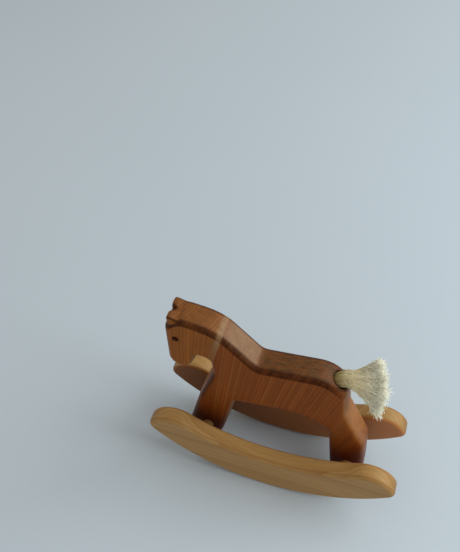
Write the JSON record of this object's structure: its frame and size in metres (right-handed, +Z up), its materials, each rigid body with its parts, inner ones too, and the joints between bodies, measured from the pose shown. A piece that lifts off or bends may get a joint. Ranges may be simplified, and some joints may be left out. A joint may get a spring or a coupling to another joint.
{
  "type": "rocking horse ornament",
  "caption": "Small wooden rocking horse: one carved plank held between two curved rockers on cross dowels, with inlaid eyes and a yarn tail.",
  "frame": {"origin": "on the floor, under the middle of the rockers and in the horse's middle plane", "axes": "+Z up; the horse looks along -X and its tail is at +X; its left side is -Y"},
  "size_m": [0.1294, 0.0434, 0.1101],
  "materials": {
    "horse_wood": "oiled reddish-brown wood, satin, vertical grain with a pale sapwood stripe",
    "rocker_wood": "oiled pale tan wood, satin, grain along the rocker",
    "dowel_wood": "plain pale dowel, satin",
    "eye_wood": "very dark brown peg, satin",
    "tail_yarn": "cream cotton yarn, matt, combed out"
  },
  "bodies": {
    "horse": {"horse_body": "horse_wood", "left_rocker": "rocker_wood", "right_rocker": "rocker_wood", "front_cross_dowel": "dowel_wood", "rear_cross_dowel": "dowel_wood", "left_eye_peg": "eye_wood", "right_eye_peg": "eye_wood", "tail_root": "tail_yarn"},
    "tail_tie": {"tail_tie": "tail_yarn"},
    "tail": {"tail_tassel": "tail_yarn"}
  },
  "joints": [
    {"name": "tail_swing", "type": "hinge", "parent": "horse", "child": "tail_tie", "pos_m": [0.02779, 0, 0.0889], "axis": [0, 0, 1], "range_deg": [-25, 25], "stiffness_Nm_per_rad": 0.02},
    {"name": "tail_lift", "type": "hinge", "parent": "tail_tie", "child": "tail", "pos_m": [0.02779, 0, 0.0889], "axis": [0, 1, 0], "range_deg": [-35, 15], "stiffness_Nm_per_rad": 0.02}
  ]
}
